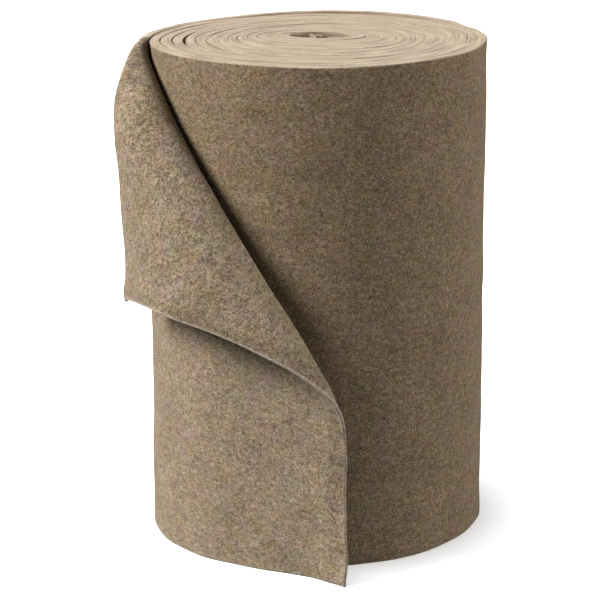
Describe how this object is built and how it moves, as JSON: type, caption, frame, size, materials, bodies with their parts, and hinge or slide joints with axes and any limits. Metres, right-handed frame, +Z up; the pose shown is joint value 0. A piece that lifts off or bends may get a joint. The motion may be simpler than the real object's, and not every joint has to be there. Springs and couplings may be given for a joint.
{
  "type": "roll of felt",
  "caption": "Thick grey-brown felt wound into a standing roll, its loose end left free at the front with the upper corner folded outward and down.",
  "frame": {"origin": "on the floor under the middle of the wound roll", "axes": "+Z up along the roll, -Y toward the viewer, +X to the viewer's right; the loose end leaves the roll on the -X and -Y side"},
  "size_m": [0.3694, 0.404, 0.5035],
  "materials": {
    "felt": "matt, heathered grey-brown fibres"
  },
  "bodies": {
    "root": {"wound_roll": "felt", "loose_end": "felt"}
  },
  "joints": []
}
